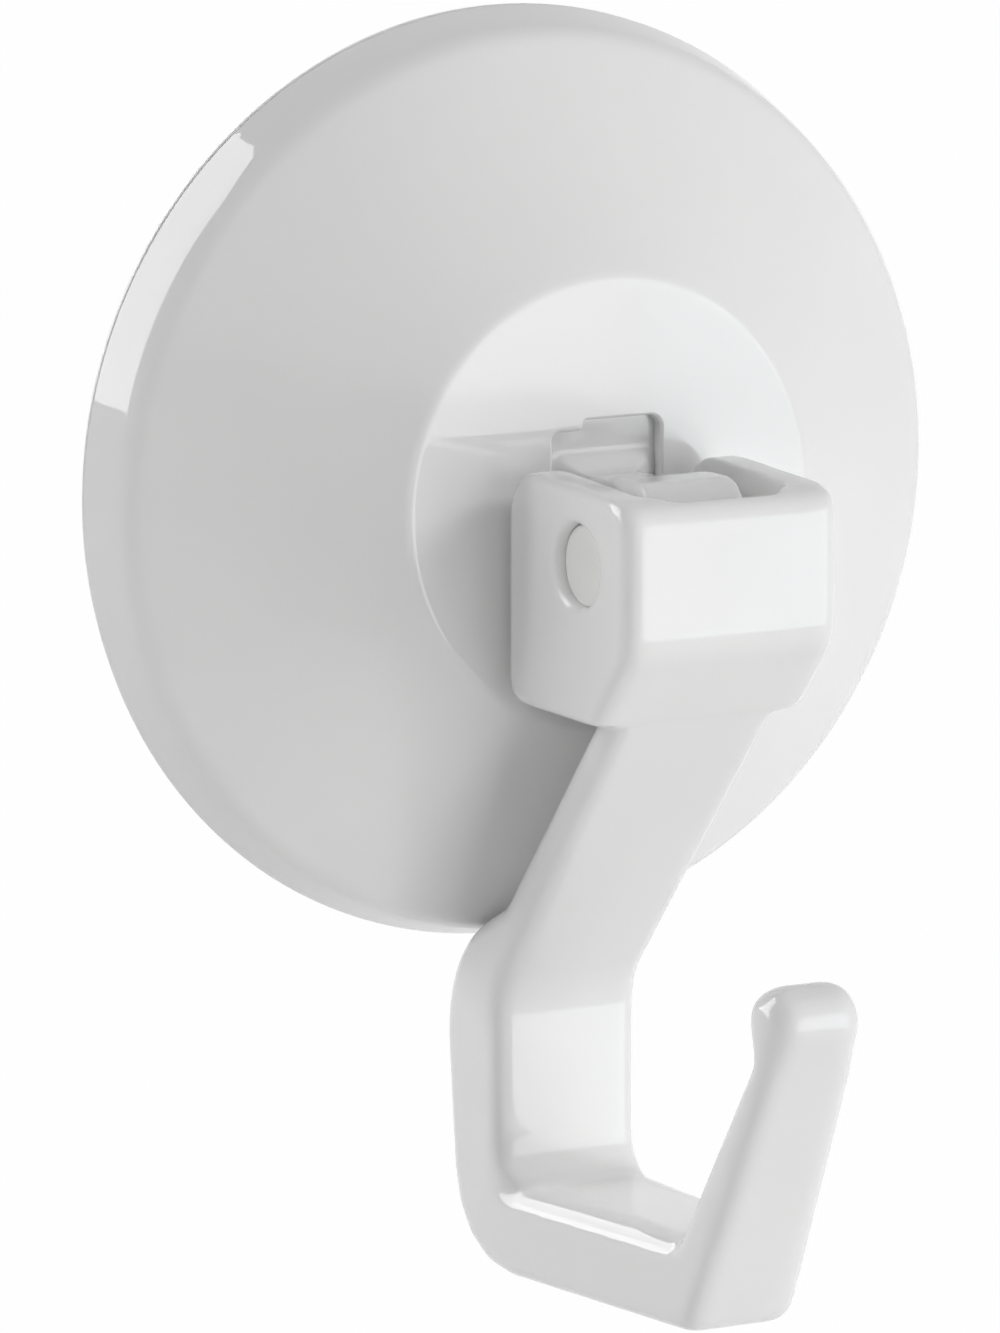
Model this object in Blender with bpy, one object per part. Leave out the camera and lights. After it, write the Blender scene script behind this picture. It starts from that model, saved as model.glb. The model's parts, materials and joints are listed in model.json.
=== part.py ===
"""Suction cup hook: a soft cup under a bell housing, locked by a hinged cam lever that is the hook.

Frame: the wall is the plane Y = 0, the hook stands out along -Y, +Z is up, and +X is to the
right of someone who faces the wall. The origin is the centre of the cup's lip on the wall.
Outlines are given as (reach, z), where reach is the distance out from the wall.
"""
import math

import bmesh
import bpy
from mathutils import Matrix, Vector

for old_object in list(bpy.data.objects):
    bpy.data.objects.remove(old_object, do_unlink=True)

MM = 0.001

# Fits between pieces
FIT_GAP = 0.3 * MM            # pieces that rest on or slide past each other
PIN_GAP = 0.25 * MM           # pin in its bores, on the radius

# Suction cup
CUP_RADIUS = 30.0 * MM
LIP_THICKNESS = 0.7 * MM
LIP_FLAT = 2.4 * MM           # ring of the lip that lies flat on the wall
CAVITY_DEPTH = 3.6 * MM       # hollow between the wall and the middle of the cup
WEB_THICKNESS = 1.4 * MM      # rubber over the hollow, at the boss
BOSS_WALL = 1.8 * MM          # rubber round the stem's foot
BOSS_ROOF = 1.2 * MM          # rubber over the stem's foot

# Stem: foot, flat shank and eye
FOOT_RADIUS = 8.0 * MM
FOOT_THICKNESS = 1.6 * MM
STEM_WIDTH = 6.7 * MM
EYE_RADIUS = 4.8 * MM         # also half the height of the shank
STEM_KEY_RECESS = 1.4 * MM    # from the bell's plateau in to the block that fills its opening

# Pivot
PIVOT_REACH = 23.4 * MM
PIVOT_Z = -2.0 * MM
PIN_RADIUS = 2.35 * MM
PIN_RECESS = 0.9 * MM        # from the cheek's face to the pin's end
PIN_CHAMFER = 0.3 * MM

# Bell housing
LIP_SHOW = 0.3 * MM           # how far the cup's lip shows outside the bell's foot
SHOULDER_INSET = 0.94 * MM    # from the bell's foot in to its shoulder
SHOULDER_REACH = 4.17 * MM
SHOULDER_ROUND = 3.0 * MM
PLATEAU_RADIUS = 14.26 * MM
PLATEAU_REACH = 14.1 * MM
PLATEAU_ROUND = 1.5 * MM
BELL_WALL = 2.0 * MM
GUIDE_WALL = 1.4 * MM         # round boss inside the bell that guides the stem
GUIDE_CLEARANCE = 0.7 * MM    # from the guide's end to the cup's boss
WINDOW_HEADROOM = 2.3 * MM    # the stem's opening goes on above the stem
WINDOW_ROUND = 0.8 * MM
WINDOW_STEP_WIDTH = 2.2 * MM  # step in the opening's upper left corner
WINDOW_STEP_DROP = 0.75 * MM

# Lever head: two cheeks and a front wall
HEAD_WIDTH = 15.3 * MM
HEAD_TOP_Z = 3.0 * MM
HEAD_BOTTOM_Z = -11.9 * MM
HEAD_TOP_DROP = 0.35 * MM     # the top falls by this much towards the front
FRONT_WALL = 1.2 * MM
CAM_ROUND = 3.4 * MM          # back upper corner, the cam that rolls over the plateau
HEAD_HEEL_ROUND = 1.6 * MM    # back lower corner
HEAD_BROW_ROUND = 1.8 * MM    # front upper edge
HEAD_CREASE_ROUND = 3.0 * MM  # where the front face turns into the slope
HEAD_CHIN_ROUND = 0.7 * MM    # lower end of the slope, beside the arm
HEAD_SIDE_ROUND = 0.7 * MM    # top and bottom edges of the cheeks
HEAD_FRONT_EDGE = 1.2 * MM    # upright edges beside the front face
HEAD_BACK_EDGE = 0.7 * MM     # upright edges beside the back faces

# Lever arm
ARM_SLOPE_DEG = 50.1          # arm against the horizontal
ARM_TOP_Z = -6.7 * MM         # where the front face turns into the slope
ARM_TOP_THICKNESS = 2.3 * MM  # where the arm leaves the head
ARM_TAPER_DEG = 1.8           # the arm thickens downwards by this angle
ARM_WIDTH = 11.8 * MM
ARM_PROUD = 0.04 * MM         # the arm's front lies this much over the head's slope
ARM_ROOT_DROP = 0.45 * MM     # the arm's root starts this far below the crease
ARM_ROOT_SINK = 0.12 * MM     # and this far under the arm's front, so inside the head
ARM_SKIN = 2.7 * MM           # the head's wall behind the slope, which buries the arm's root

# Shank, bar and tip of the hook
SHANK_FRONT_REACH = 8.7 * MM
SHANK_WIDTH = 10.4 * MM
SHANK_BEND = 4.5 * MM         # front radius from arm to shank
SHANK_SHOULDER = 9.0 * MM     # back radius of the shank's top, round the bell's rim
SHANK_CLEAR_DEG = -47.0       # where that radius passes closest to the rim, seen from it
SHANK_LEDGE_DEG = 26.6        # slope of the ledge between the arm's back and that radius
SHANK_LEAN_DEG = 6.0          # the shank's back leaves the wall by this angle downwards
LEDGE_ROUND = 2.5 * MM        # hollow corner between the arm's back and the ledge
HEEL_ROUND = 6.6 * MM        # outer corner below the shank
BAR_TOP_Z = -44.3 * MM        # at the shank's front
BAR_THICKNESS = 6.0 * MM
BAR_RISE_DEG = 2.2            # the bar climbs a little towards the tip
BAR_INNER_ROUND = 2.4 * MM
TIP_FRONT_REACH = 30.7 * MM   # where the tip's front face meets the underside
TIP_SLOPE_DEG = 64.3
TIP_FOOT_THICKNESS = 3.6 * MM
TIP_NECK_THICKNESS = 2.3 * MM
TIP_TOP_Z = -26.1 * MM
TIP_FOOT_WIDTH = 7.9 * MM
TIP_NECK_WIDTH = 6.6 * MM
TIP_INNER_ROUND = 0.9 * MM
TOE_ROUND = 1.8 * MM
BEAD_RADIUS = 2.25 * MM
BEAD_BLEND = 3.0 * MM         # length of the swelling from the neck to the bead
BEAD_SIDE_ROUND = 1.7 * MM
INNER_EDGE = 1.1 * MM         # edge rounding on the mouth side of the hook
OUTER_EDGE = 1.3 * MM         # edge rounding on the outside

TURN_STEPS = 64               # facets round the cup and the bell
BORE_STEPS = 32               # facets round the pin, its bores and the eye
WEB_STEPS = 9                 # facets across the cup's curved web
CORNER_STEPS = 4              # facets round a rounded corner
FINE_STEPS = 8                # facets round the large radii
SHARP_DEG = 32                # edges turning by more than this are shaded sharp
PASS_OVER = 2.0 * MM          # how far a cutter runs past what it cuts
WELD_DISTANCE = 0.0005 * MM   # points closer than this are one

# Places that follow from the sizes above
STEM_TOP_Z = PIVOT_Z + EYE_RADIUS
STEM_BOTTOM_Z = PIVOT_Z - EYE_RADIUS
SLOT_HALF_WIDTH = STEM_WIDTH / 2 + FIT_GAP
SLOT_FRONT_REACH = PIVOT_REACH + EYE_RADIUS + FIT_GAP
HEAD_FRONT_REACH = SLOT_FRONT_REACH + FRONT_WALL
HEAD_BACK_REACH = PLATEAU_REACH + FIT_GAP
POCKET_FLOOR = CAVITY_DEPTH + WEB_THICKNESS
FOOT_REACH = POCKET_FLOOR + FIT_GAP
FOOT_TOP = FOOT_REACH + FOOT_THICKNESS
POCKET_ROOF = FOOT_TOP + FIT_GAP
POCKET_RADIUS = FOOT_RADIUS + FIT_GAP
BOSS_TOP = POCKET_ROOF + BOSS_ROOF
BELL_FOOT_RADIUS = CUP_RADIUS - LIP_SHOW
BELL_FOOT_REACH = LIP_THICKNESS + FIT_GAP
SHOULDER_RADIUS = BELL_FOOT_RADIUS - SHOULDER_INSET
WINDOW_TOP_Z = STEM_TOP_Z + WINDOW_HEADROOM
WINDOW_BOTTOM_Z = STEM_BOTTOM_Z - FIT_GAP
GUIDE_END = BOSS_TOP + GUIDE_CLEARANCE


def place(x, reach, z):
    """Point of the part from its place across, its reach from the wall and its height."""
    return Vector((x, -reach, z))


def slope_vector(degrees):
    """Unit step in (reach, z) at an angle above the horizontal."""
    angle = math.radians(degrees)
    return Vector((math.cos(angle), math.sin(angle)))


def meet(point_a, along_a, point_b, along_b):
    """Where two straight lines in (reach, z) cross."""
    across = Vector((-along_b.y, along_b.x))
    length = (point_b - point_a).dot(across) / along_a.dot(across)
    return point_a + along_a * length


def round_corner(before, corner, after, radius, steps):
    """Points of the arc that rounds one corner of a path."""
    to_before = (before - corner).normalized()
    to_after = (after - corner).normalized()
    half_angle = to_before.angle(to_after) / 2
    reach_back = radius / math.tan(half_angle)
    centre = corner + (to_before + to_after).normalized() * (radius / math.sin(half_angle))
    start = corner + to_before * reach_back - centre
    end = corner + to_after * reach_back - centre
    sweep = start.angle(end)
    if start.x * end.y - start.y * end.x < 0:
        sweep = -sweep
    turned = []
    for index in range(steps + 1):
        angle = sweep * index / steps
        turned.append(centre + Vector((
            start.x * math.cos(angle) - start.y * math.sin(angle),
            start.x * math.sin(angle) + start.y * math.cos(angle))))
    return turned


def rounded_path(corners, closed=False):
    """Path through (point, radius, steps) corners; a radius of 0 keeps a corner sharp."""
    path = []
    count = len(corners)
    for index, (corner, radius, steps) in enumerate(corners):
        at_end = not closed and index in (0, count - 1)
        if radius <= 0 or at_end:
            path.append(corner)
            continue
        before = corners[index - 1][0]
        after = corners[(index + 1) % count][0]
        path.extend(round_corner(before, corner, after, radius, steps))
    return path


def rounded_section(side_a, side_b, half_width, edge_a, edge_b):
    """Ring of a rounded rectangle from side A to side B, as wide as twice half_width."""
    thickness = (side_a - side_b).length
    toward_b = (side_b - side_a).normalized()
    limit = 0.48 * min(thickness, 2 * half_width)
    ring = []
    for side, inward, sign, edge in (
            (side_a, toward_b, -1, edge_a), (side_a, toward_b, 1, edge_a),
            (side_b, -toward_b, 1, edge_b), (side_b, -toward_b, -1, edge_b)):
        radius = min(edge, limit)
        corner_points = []
        for index in range(CORNER_STEPS + 1):
            angle = math.pi / 2 * index / CORNER_STEPS
            x = sign * (half_width - radius + radius * math.sin(angle))
            point = side + inward * (radius - radius * math.cos(angle))
            corner_points.append(place(x, point.x, point.y))
        first_goes_out = (side == side_a) == (sign > 0)
        ring.extend(corner_points if first_goes_out else reversed(corner_points))
    return ring


def skin_rings(rings):
    """Closed solid through rings of equal count, capped at both ends."""
    bm = bmesh.new()
    loops = [[bm.verts.new(point) for point in ring] for ring in rings]
    for near, far in zip(loops, loops[1:]):
        for index in range(len(near)):
            following = (index + 1) % len(near)
            bm.faces.new((near[index], near[following], far[following], far[index]))
    bm.faces.new(loops[0])
    bm.faces.new(reversed(loops[-1]))
    return bm


def extrude_outline(outline, half_width):
    """Closed outline in (reach, z), extruded across X."""
    bm = bmesh.new()
    face = bm.faces.new([bm.verts.new(place(-half_width, p.x, p.y)) for p in outline])
    grown = bmesh.ops.extrude_face_region(bm, geom=[face])
    moved = [item for item in grown['geom'] if isinstance(item, bmesh.types.BMVert)]
    bmesh.ops.translate(bm, verts=moved, vec=(2 * half_width, 0, 0))
    return bm


def turn_profile(profile, steps, closed, axis, centre, to_point):
    """Spin a profile once round an axis; poles on the axis are merged."""
    bm = bmesh.new()
    verts = [bm.verts.new(to_point(p)) for p in profile]
    edges = [bm.edges.new(pair) for pair in zip(verts, verts[1:])]
    if closed:
        edges.append(bm.edges.new((verts[-1], verts[0])))
    bmesh.ops.spin(bm, geom=verts + edges, axis=axis, cent=centre,
                   steps=steps, angle=2 * math.pi, use_merge=True)
    bmesh.ops.remove_doubles(bm, verts=bm.verts, dist=WELD_DISTANCE)
    return bm


def turn_about_wall_axis(profile, closed):
    """Turned piece of the cup side: profile in (radius, reach) round the Y axis."""
    return turn_profile(profile, TURN_STEPS, closed, (0, 1, 0), (0, 0, 0),
                        lambda p: Vector((p.x, -p.y, 0)))


def make_material(name, colour, roughness):
    """Plain moulded plastic or rubber."""
    material = bpy.data.materials.new(name)
    material.use_nodes = True
    shader = material.node_tree.nodes['Principled BSDF']
    shader.inputs['Base Color'].default_value = (*colour, 1)
    shader.inputs['Roughness'].default_value = roughness
    shader.inputs['Metallic'].default_value = 0
    return material


def finish_object(name, bm, material=None):
    """Turn a bmesh into a named object, smooth where it is round."""
    bmesh.ops.recalc_face_normals(bm, faces=bm.faces)
    mesh = bpy.data.meshes.new(name)
    bm.to_mesh(mesh)
    bm.free()
    made = bpy.data.objects.new(name, mesh)
    bpy.context.scene.collection.objects.link(made)
    if material:
        mesh.materials.append(material)
        mesh.shade_smooth()
        mesh.set_sharp_from_angle(angle=math.radians(SHARP_DEG))
    return made


def apply_boolean(target, cutter_bm, operation, name):
    """Join or cut with a helper shape, which stays in the file as a wire guide."""
    guide = finish_object(name, cutter_bm)
    guide.hide_render = True
    guide.display_type = 'WIRE'
    step = target.modifiers.new(name, 'BOOLEAN')
    step.operation = operation
    step.solver = 'EXACT'
    step.object = guide
    return guide


def put_origin(made, point):
    """Give an object its origin at a point of the part, with its shape left in place."""
    made.data.transform(Matrix.Translation(-point))
    made.location = point


def stem_opening(half_width, bottom_z, top_z, corner, near, far, step_width=0, step_drop=0):
    """Block in the shape of the opening for the stem, from one reach to another.

    A step may fill part of its upper left corner.
    """
    step_round = min(corner, 0.45 * step_drop)
    corners = [(half_width, bottom_z, corner), (half_width, top_z, corner)]
    if step_drop:
        corners += [(step_width - half_width, top_z, step_round),
                    (step_width - half_width, top_z - step_drop, step_round)]
    corners += [(-half_width, top_z - step_drop, corner - step_round),
                (-half_width, bottom_z, corner)]
    outline = rounded_path([(Vector((x, z)), radius, CORNER_STEPS) for x, z, radius in corners], closed=True)
    return skin_rings([[place(point.x, near, point.y) for point in outline],
                       [place(point.x, far, point.y) for point in outline]])


def make_suction_cup(material):
    """Soft cup: thin lip, domed web over the hollow, and a boss that holds the stem's foot."""
    inner_edge = CUP_RADIUS - LIP_FLAT
    boss_radius = POCKET_RADIUS + BOSS_WALL

    def hollow(radius):
        return CAVITY_DEPTH * (1 + math.cos(math.pi * radius / inner_edge)) / 2

    def web_top(radius):
        share = (radius - boss_radius) / (CUP_RADIUS - boss_radius)
        return hollow(min(radius, inner_edge)) + WEB_THICKNESS + share * (LIP_THICKNESS - WEB_THICKNESS)

    underside = []
    top = []
    web_edge = CUP_RADIUS - 2 * LIP_THICKNESS
    for index in range(WEB_STEPS + 1):
        share = index / WEB_STEPS
        under_radius = inner_edge * share
        over_radius = web_edge + (boss_radius - web_edge) * share
        underside.append(Vector((under_radius, hollow(under_radius))))
        top.append(Vector((over_radius, web_top(over_radius))))
    lip = [Vector((CUP_RADIUS, 0)), Vector((CUP_RADIUS, LIP_THICKNESS / 2)),
           Vector((CUP_RADIUS - LIP_THICKNESS / 2, LIP_THICKNESS))]
    boss = [Vector((boss_radius, BOSS_TOP - BOSS_ROOF / 2)),
            Vector((boss_radius - BOSS_ROOF / 2, BOSS_TOP)),
            Vector((0, BOSS_TOP))]
    cup = finish_object("suction_cup", turn_about_wall_axis(underside + lip + top + boss, False), material)
    pocket = turn_about_wall_axis(
        [Vector((0, POCKET_FLOOR)), Vector((POCKET_RADIUS, POCKET_FLOOR)),
         Vector((POCKET_RADIUS, POCKET_ROOF)), Vector((0, POCKET_ROOF))], False)
    apply_boolean(cup, pocket, 'DIFFERENCE', "cup_pocket_guide")
    mouth = stem_opening(SLOT_HALF_WIDTH, STEM_BOTTOM_Z - FIT_GAP, STEM_TOP_Z + FIT_GAP,
                         FIT_GAP, FOOT_TOP, BOSS_TOP + PASS_OVER)
    apply_boolean(cup, mouth, 'DIFFERENCE', "cup_mouth_guide")
    return cup


def make_bell_housing(material):
    """Stiff shell that presses the lip down, with a flat plateau and a guided opening."""
    outer_corners = [
        (Vector((BELL_FOOT_RADIUS, BELL_FOOT_REACH)), 0, 0),
        (Vector((SHOULDER_RADIUS, SHOULDER_REACH)), SHOULDER_ROUND, CORNER_STEPS),
        (Vector((PLATEAU_RADIUS, PLATEAU_REACH)), PLATEAU_ROUND, CORNER_STEPS),
    ]
    flank = (Vector((PLATEAU_RADIUS, PLATEAU_REACH)) - Vector((SHOULDER_RADIUS, SHOULDER_REACH))).normalized()
    side = (Vector((SHOULDER_RADIUS, SHOULDER_REACH)) - Vector((BELL_FOOT_RADIUS, BELL_FOOT_REACH))).normalized()
    flank_in = Vector((flank.y, -flank.x)) * -BELL_WALL
    side_in = Vector((side.y, -side.x)) * -BELL_WALL
    ceiling = Vector((0, PLATEAU_REACH - BELL_WALL))
    level = Vector((1, 0))
    inner_plateau = meet(ceiling, level, Vector((PLATEAU_RADIUS, PLATEAU_REACH)) + flank_in, flank)
    inner_shoulder = meet(Vector((SHOULDER_RADIUS, SHOULDER_REACH)) + flank_in, flank,
                          Vector((SHOULDER_RADIUS, SHOULDER_REACH)) + side_in, side)
    inner_foot = meet(Vector((0, BELL_FOOT_REACH)), level, inner_shoulder, side)

    guide_radius = math.hypot(SLOT_HALF_WIDTH, max(WINDOW_TOP_Z, -WINDOW_BOTTOM_Z)) + GUIDE_WALL
    core_radius = SLOT_HALF_WIDTH / 2
    outer_corners.append((Vector((core_radius, PLATEAU_REACH)), 0, 0))
    profile = rounded_path(outer_corners)
    profile += [Vector((core_radius, GUIDE_END)), Vector((guide_radius, GUIDE_END)),
                Vector((guide_radius, PLATEAU_REACH - BELL_WALL)),
                inner_plateau, inner_shoulder, inner_foot]
    bell = finish_object("bell_housing", turn_about_wall_axis(profile, True), material)
    window = stem_opening(SLOT_HALF_WIDTH, WINDOW_BOTTOM_Z, WINDOW_TOP_Z, WINDOW_ROUND,
                          GUIDE_END - PASS_OVER, PLATEAU_REACH + PASS_OVER,
                          WINDOW_STEP_WIDTH, WINDOW_STEP_DROP)
    apply_boolean(bell, window, 'DIFFERENCE', "bell_window_guide")
    return bell


def pivot_cylinder(radius, half_length, chamfer=0.0):
    """Round bar along X through the pivot."""
    profile = [Vector((-half_length, 0)), Vector((-half_length, radius - chamfer))]
    if chamfer:
        profile += [Vector((-half_length + chamfer, radius)), Vector((half_length - chamfer, radius))]
    profile += [Vector((half_length, radius - chamfer)), Vector((half_length, 0))]
    return turn_profile(profile, BORE_STEPS, False, (1, 0, 0), place(0, PIVOT_REACH, PIVOT_Z),
                        lambda p: place(p.x, PIVOT_REACH, PIVOT_Z + p.y))


def make_pull_stem(material):
    """Stem that pulls the cup's middle: round foot, flat shank with a key, and an eye for the pin."""
    foot_profile = [Vector((0, FOOT_REACH)), Vector((FOOT_RADIUS, FOOT_REACH)),
                    Vector((FOOT_RADIUS, FOOT_TOP)), Vector((0, FOOT_TOP))]
    stem = finish_object("pull_stem", turn_about_wall_axis(foot_profile, False), material)
    shank_start = FOOT_REACH + FOOT_THICKNESS / 2
    outline = [Vector((shank_start, STEM_TOP_Z))]
    half_turn = BORE_STEPS // 2
    for index in range(half_turn + 1):
        angle = math.pi / 2 - math.pi * index / half_turn
        outline.append(Vector((PIVOT_REACH + EYE_RADIUS * math.cos(angle),
                               PIVOT_Z + EYE_RADIUS * math.sin(angle))))
    outline.append(Vector((shank_start, STEM_BOTTOM_Z)))
    apply_boolean(stem, extrude_outline(outline, STEM_WIDTH / 2), 'UNION', "stem_shank_guide")
    key = stem_opening(STEM_WIDTH / 2, STEM_BOTTOM_Z, WINDOW_TOP_Z - FIT_GAP, WINDOW_ROUND,
                       GUIDE_END, PLATEAU_REACH - STEM_KEY_RECESS,
                       WINDOW_STEP_WIDTH, WINDOW_STEP_DROP)
    apply_boolean(stem, key, 'UNION', "stem_key_guide")
    eye = pivot_cylinder(PIN_RADIUS + PIN_GAP, STEM_WIDTH / 2 + PASS_OVER)
    apply_boolean(stem, eye, 'DIFFERENCE', "stem_eye_guide")
    return stem


def make_pivot_pin(material):
    """Pin through both cheeks and the stem's eye, its ends a little below the cheeks' faces."""
    half_length = HEAD_WIDTH / 2 - PIN_RECESS
    pin = finish_object("pivot_pin", pivot_cylinder(PIN_RADIUS, half_length, PIN_CHAMFER), material)
    put_origin(pin, place(0, PIVOT_REACH, PIVOT_Z))
    return pin


def reach_at(outline, z):
    """Reach of an outline, listed from top to bottom, at one height."""
    for upper, lower in zip(outline, outline[1:]):
        if lower.y <= z <= upper.y and upper.y > lower.y:
            return upper.x + (lower.x - upper.x) * (upper.y - z) / (upper.y - lower.y)
    return outline[-1].x if z < outline[-1].y else outline[0].x


def arm_front_at(z):
    """Reach of the arm's front plane at one height."""
    return HEAD_FRONT_REACH - (ARM_TOP_Z - z) / math.tan(math.radians(ARM_SLOPE_DEG))


def lever_head():
    """Block of the lever's head, as level sections from its top down to its bottom."""
    middle = (HEAD_FRONT_REACH + HEAD_BACK_REACH) / 2
    front = rounded_path([
        (Vector((middle, HEAD_TOP_Z)), 0, 0),
        (Vector((HEAD_FRONT_REACH, HEAD_TOP_Z)), HEAD_BROW_ROUND, CORNER_STEPS),
        (Vector((HEAD_FRONT_REACH, ARM_TOP_Z)), HEAD_CREASE_ROUND, CORNER_STEPS),
        (Vector((arm_front_at(HEAD_BOTTOM_Z), HEAD_BOTTOM_Z)), HEAD_CHIN_ROUND, CORNER_STEPS),
        (Vector((middle, HEAD_BOTTOM_Z)), 0, 0)])[1:-1]
    back = rounded_path([
        (Vector((middle, HEAD_TOP_Z)), 0, 0),
        (Vector((HEAD_BACK_REACH, HEAD_TOP_Z)), CAM_ROUND, FINE_STEPS),
        (Vector((HEAD_BACK_REACH, HEAD_BOTTOM_Z)), HEAD_HEEL_ROUND, CORNER_STEPS),
        (Vector((middle, HEAD_BOTTOM_Z)), 0, 0)])[1:-1]
    levels = sorted({round(point.y / MM, 3) for point in front + back}, reverse=True)
    sections = []
    for level in levels:
        z = level * MM
        rounding = HEAD_SIDE_ROUND
        off_end = min(HEAD_TOP_Z - z, z - HEAD_BOTTOM_Z, rounding)
        half_width = HEAD_WIDTH / 2 - rounding + math.sqrt(max(0, rounding ** 2 - (rounding - off_end) ** 2))
        drop = HEAD_TOP_DROP * (z - HEAD_BOTTOM_Z) / (HEAD_TOP_Z - HEAD_BOTTOM_Z)
        sections.append(rounded_section(
            Vector((reach_at(front, z), z - drop)), Vector((reach_at(back, z), z)),
            half_width, HEAD_FRONT_EDGE, HEAD_BACK_EDGE))
    return skin_rings(sections)


def stem_slot():
    """Space between the cheeks: open at the back, the top and the bottom."""
    down = -slope_vector(ARM_SLOPE_DEG)
    inward = Vector((down.y, -down.x)) * ARM_SKIN
    slope_point = Vector((HEAD_FRONT_REACH, ARM_TOP_Z)) + inward
    high = HEAD_TOP_Z + PASS_OVER
    low = HEAD_BOTTOM_Z - PASS_OVER
    upright = Vector((0, 1))
    level = Vector((1, 0))
    back = HEAD_BACK_REACH - PASS_OVER
    return extrude_outline([
        Vector((back, high)), Vector((SLOT_FRONT_REACH, high)),
        meet(Vector((SLOT_FRONT_REACH, 0)), upright, slope_point, down),
        meet(Vector((0, low)), level, slope_point, down),
        Vector((back, low))], SLOT_HALF_WIDTH)


def shank_and_tip_outlines():
    """Matching points on the mouth side and the outside, from the arm's top to the tip's neck."""
    arm_down = -slope_vector(ARM_SLOPE_DEG)
    arm_out = Vector((-arm_down.y, arm_down.x))
    arm_top = Vector((HEAD_FRONT_REACH, ARM_TOP_Z)) + arm_out * ARM_PROUD
    arm_back = arm_top - arm_out * ARM_TOP_THICKNESS
    arm_back_down = -slope_vector(ARM_SLOPE_DEG - ARM_TAPER_DEG)
    root_front = arm_top + arm_down * ARM_ROOT_DROP - arm_out * ARM_ROOT_SINK
    root_back = arm_back + arm_down * ARM_ROOT_DROP

    bar_along = slope_vector(BAR_RISE_DEG)
    bar_top = Vector((SHANK_FRONT_REACH, BAR_TOP_Z))
    bar_under = bar_top - Vector((-bar_along.y, bar_along.x)) * BAR_THICKNESS
    tip_along = slope_vector(TIP_SLOPE_DEG)
    tip_in = Vector((-tip_along.y, tip_along.x))
    tip_foot = meet(bar_under, bar_along, Vector((TIP_FRONT_REACH, 0)), Vector((0, 1)))
    bead_centre = meet(tip_foot + tip_in * BEAD_RADIUS, tip_along,
                       Vector((0, TIP_TOP_Z - BEAD_RADIUS)), Vector((1, 0)))
    neck_front = bead_centre - tip_in * BEAD_RADIUS - tip_along * BEAD_BLEND
    neck_back = neck_front + tip_in * TIP_NECK_THICKNESS
    tip_back_foot = meet(bar_top, bar_along, tip_foot + tip_in * TIP_FOOT_THICKNESS, tip_along)

    rim_corner = Vector((SHOULDER_REACH, -SHOULDER_RADIUS))
    away = slope_vector(SHANK_CLEAR_DEG)
    shoulder_centre = rim_corner + away * (SHANK_SHOULDER + FIT_GAP)
    ledge_along = slope_vector(180 + SHANK_LEDGE_DEG)
    ledge_point = shoulder_centre + Vector((ledge_along.y, -ledge_along.x)) * SHANK_SHOULDER
    back_along = slope_vector(-90 + SHANK_LEAN_DEG)
    back_point = shoulder_centre + Vector((back_along.y, -back_along.x)) * SHANK_SHOULDER
    ledge_corner = meet(arm_back, arm_back_down, ledge_point, ledge_along)
    shoulder_corner = meet(ledge_point, ledge_along, back_point, back_along)
    heel = meet(back_point, back_along, bar_under, bar_along)

    shank_bend = meet(arm_top, arm_down, Vector((SHANK_FRONT_REACH, 0)), Vector((0, 1)))
    ledge_arc = round_corner(arm_back, ledge_corner, shoulder_corner, LEDGE_ROUND, CORNER_STEPS)
    front = [root_front]
    front += [arm_top + arm_down * (point - arm_top).dot(arm_down) for point in ledge_arc]
    front += round_corner(arm_top, shank_bend, bar_top, SHANK_BEND, FINE_STEPS)
    front += round_corner(shank_bend, bar_top, tip_back_foot, BAR_INNER_ROUND, CORNER_STEPS)
    front += round_corner(bar_top, tip_back_foot, neck_back, TIP_INNER_ROUND, CORNER_STEPS)
    front.append(neck_back)

    outside = [root_back] + ledge_arc
    outside += round_corner(ledge_corner, shoulder_corner, heel, SHANK_SHOULDER, FINE_STEPS)
    outside += round_corner(shoulder_corner, heel, tip_foot, HEEL_ROUND, CORNER_STEPS)
    outside += round_corner(heel, tip_foot, neck_front, TOE_ROUND, CORNER_STEPS)
    outside.append(neck_front)
    return front, outside, bead_centre, tip_along, tip_in


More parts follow.
